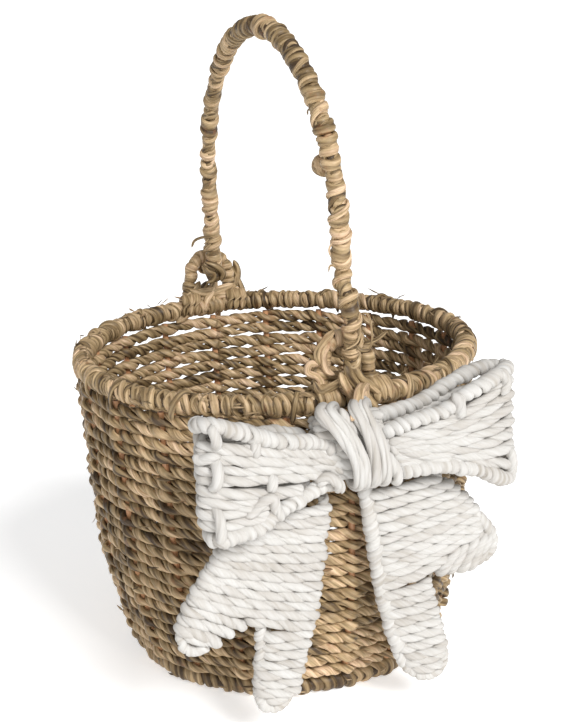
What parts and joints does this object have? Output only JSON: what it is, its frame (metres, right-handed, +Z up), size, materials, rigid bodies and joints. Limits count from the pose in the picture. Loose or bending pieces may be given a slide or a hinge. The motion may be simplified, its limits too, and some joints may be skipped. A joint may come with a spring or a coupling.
{
  "type": "flower girl basket",
  "caption": "Round seagrass basket twined on coated rods, with a rope-wrapped bail handle hung from ears on the rim and a white paper-rope bow on the front.",
  "frame": {"origin": "centre of the foot ring, on the surface that the basket stands on", "axes": "+Z up, the bow faces -Y, the handle stands upright in the YZ plane"},
  "size_m": [0.2, 0.2315, 0.315],
  "materials": {
    "seagrass": "matte",
    "paper_rope": "matte",
    "steel_wire": "satin",
    "coated_rod": "satin"
  },
  "bodies": {
    "basket": {"rim_wire": "steel_wire", "rim_wrap": "seagrass", "foot_wire": "steel_wire", "foot_wrap": "seagrass", "stakes": "coated_rod", "weave_outer_ply": "seagrass", "weave_inner_ply": "seagrass", "floor_rods": "coated_rod", "floor_weave_top": "seagrass", "floor_weave_bottom": "seagrass", "ear_front_wire": "steel_wire", "ear_front_wrap": "seagrass", "ear_back_wire": "steel_wire", "ear_back_wrap": "seagrass", "bow_left_top_wire": "steel_wire", "bow_left_top_edge": "paper_rope", "bow_left_bottom_wire": "steel_wire", "bow_left_bottom_edge": "paper_rope", "bow_left_fill": "paper_rope", "bow_right_top_wire": "steel_wire", "bow_right_top_edge": "paper_rope", "bow_right_bottom_wire": "steel_wire", "bow_right_bottom_edge": "paper_rope", "bow_right_fill": "paper_rope", "bow_core": "paper_rope", "bow_knot": "paper_rope", "bow_tie": "seagrass", "tail_left_wire": "steel_wire", "tail_left_edge": "paper_rope", "tail_left_fill": "paper_rope", "tail_right_wire": "steel_wire", "tail_right_edge": "paper_rope", "tail_right_fill": "paper_rope"},
    "handle": {"handle_wire": "steel_wire", "handle_wrap": "seagrass", "handle_knot": "seagrass", "handle_lashings": "seagrass", "hinge_sleeves": "seagrass", "hinge_curls": "seagrass"}
  },
  "joints": [
    {"name": "handle_swing", "type": "hinge", "parent": "basket", "child": "handle", "pos_m": [0, 0, 0.1734], "axis": [0, 1, 0], "range_deg": [-100, 100]}
  ]
}
